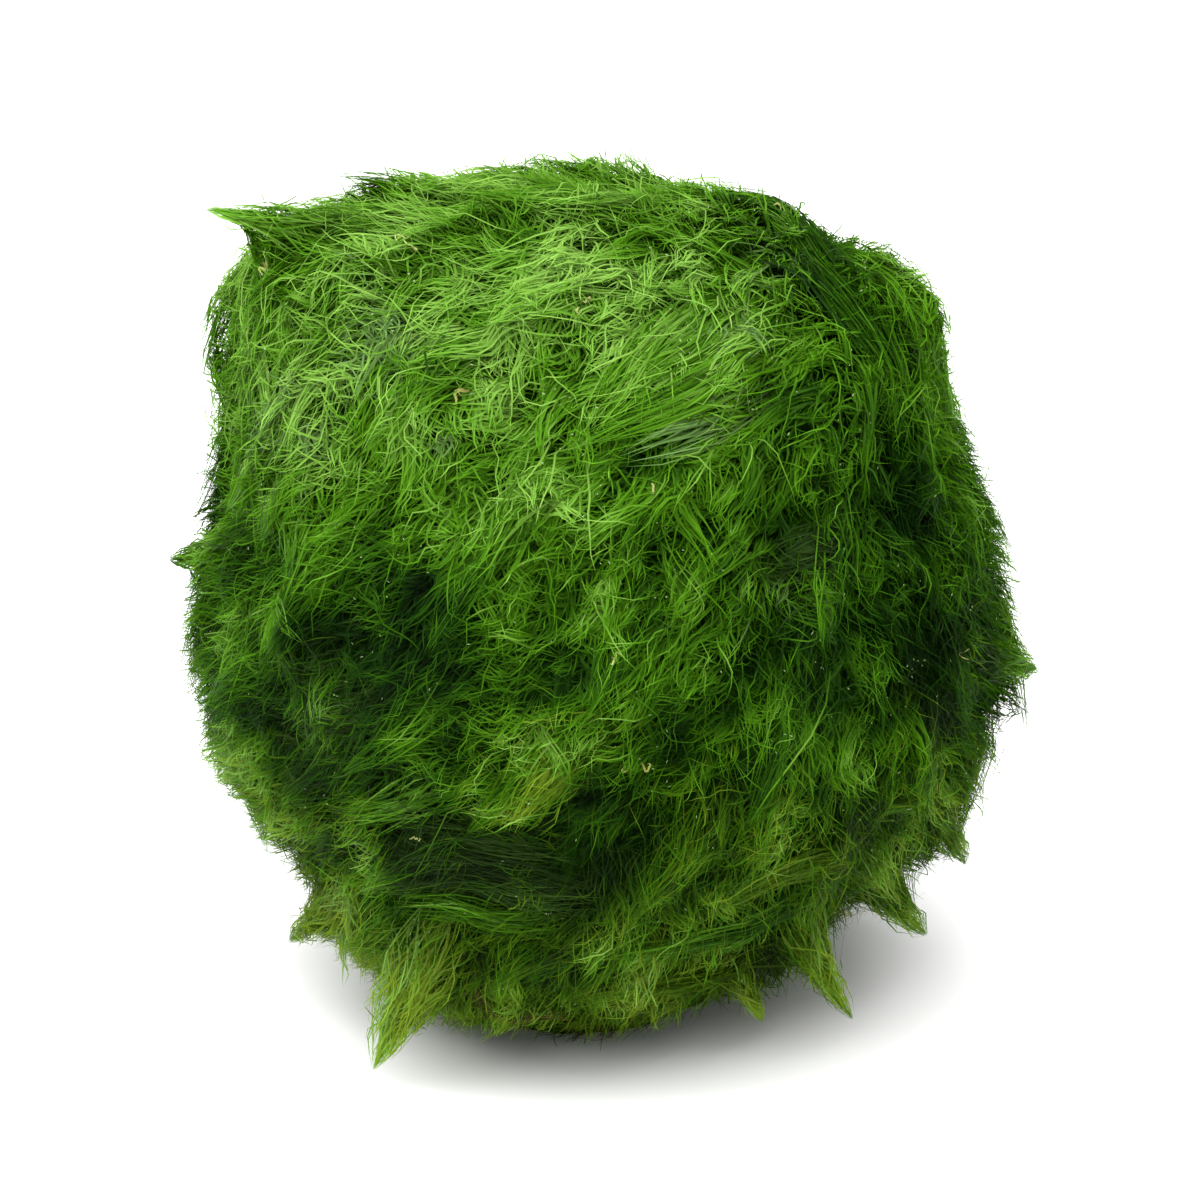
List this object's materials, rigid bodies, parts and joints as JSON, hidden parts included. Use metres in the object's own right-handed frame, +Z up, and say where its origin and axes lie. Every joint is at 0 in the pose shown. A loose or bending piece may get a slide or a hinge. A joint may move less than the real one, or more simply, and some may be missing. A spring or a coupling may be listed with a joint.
{
  "type": "marimo moss ball",
  "caption": "Ball of felted green filamentous algae with combed locks and hanging tufts, resting on a small flat spot.",
  "frame": {"origin": "on the surface it rests on, under the middle of the ball's box", "axes": "+Z up out of the flat spot, -Y towards the side that the picture shows, +X to that side's right"},
  "size_m": [0.0516, 0.0518, 0.0515],
  "materials": {
    "moss": "damp felted green filaments, dark between the locks, with bright translucent tips"
  },
  "bodies": {
    "root": {"moss_ball": "moss"}
  },
  "joints": []
}
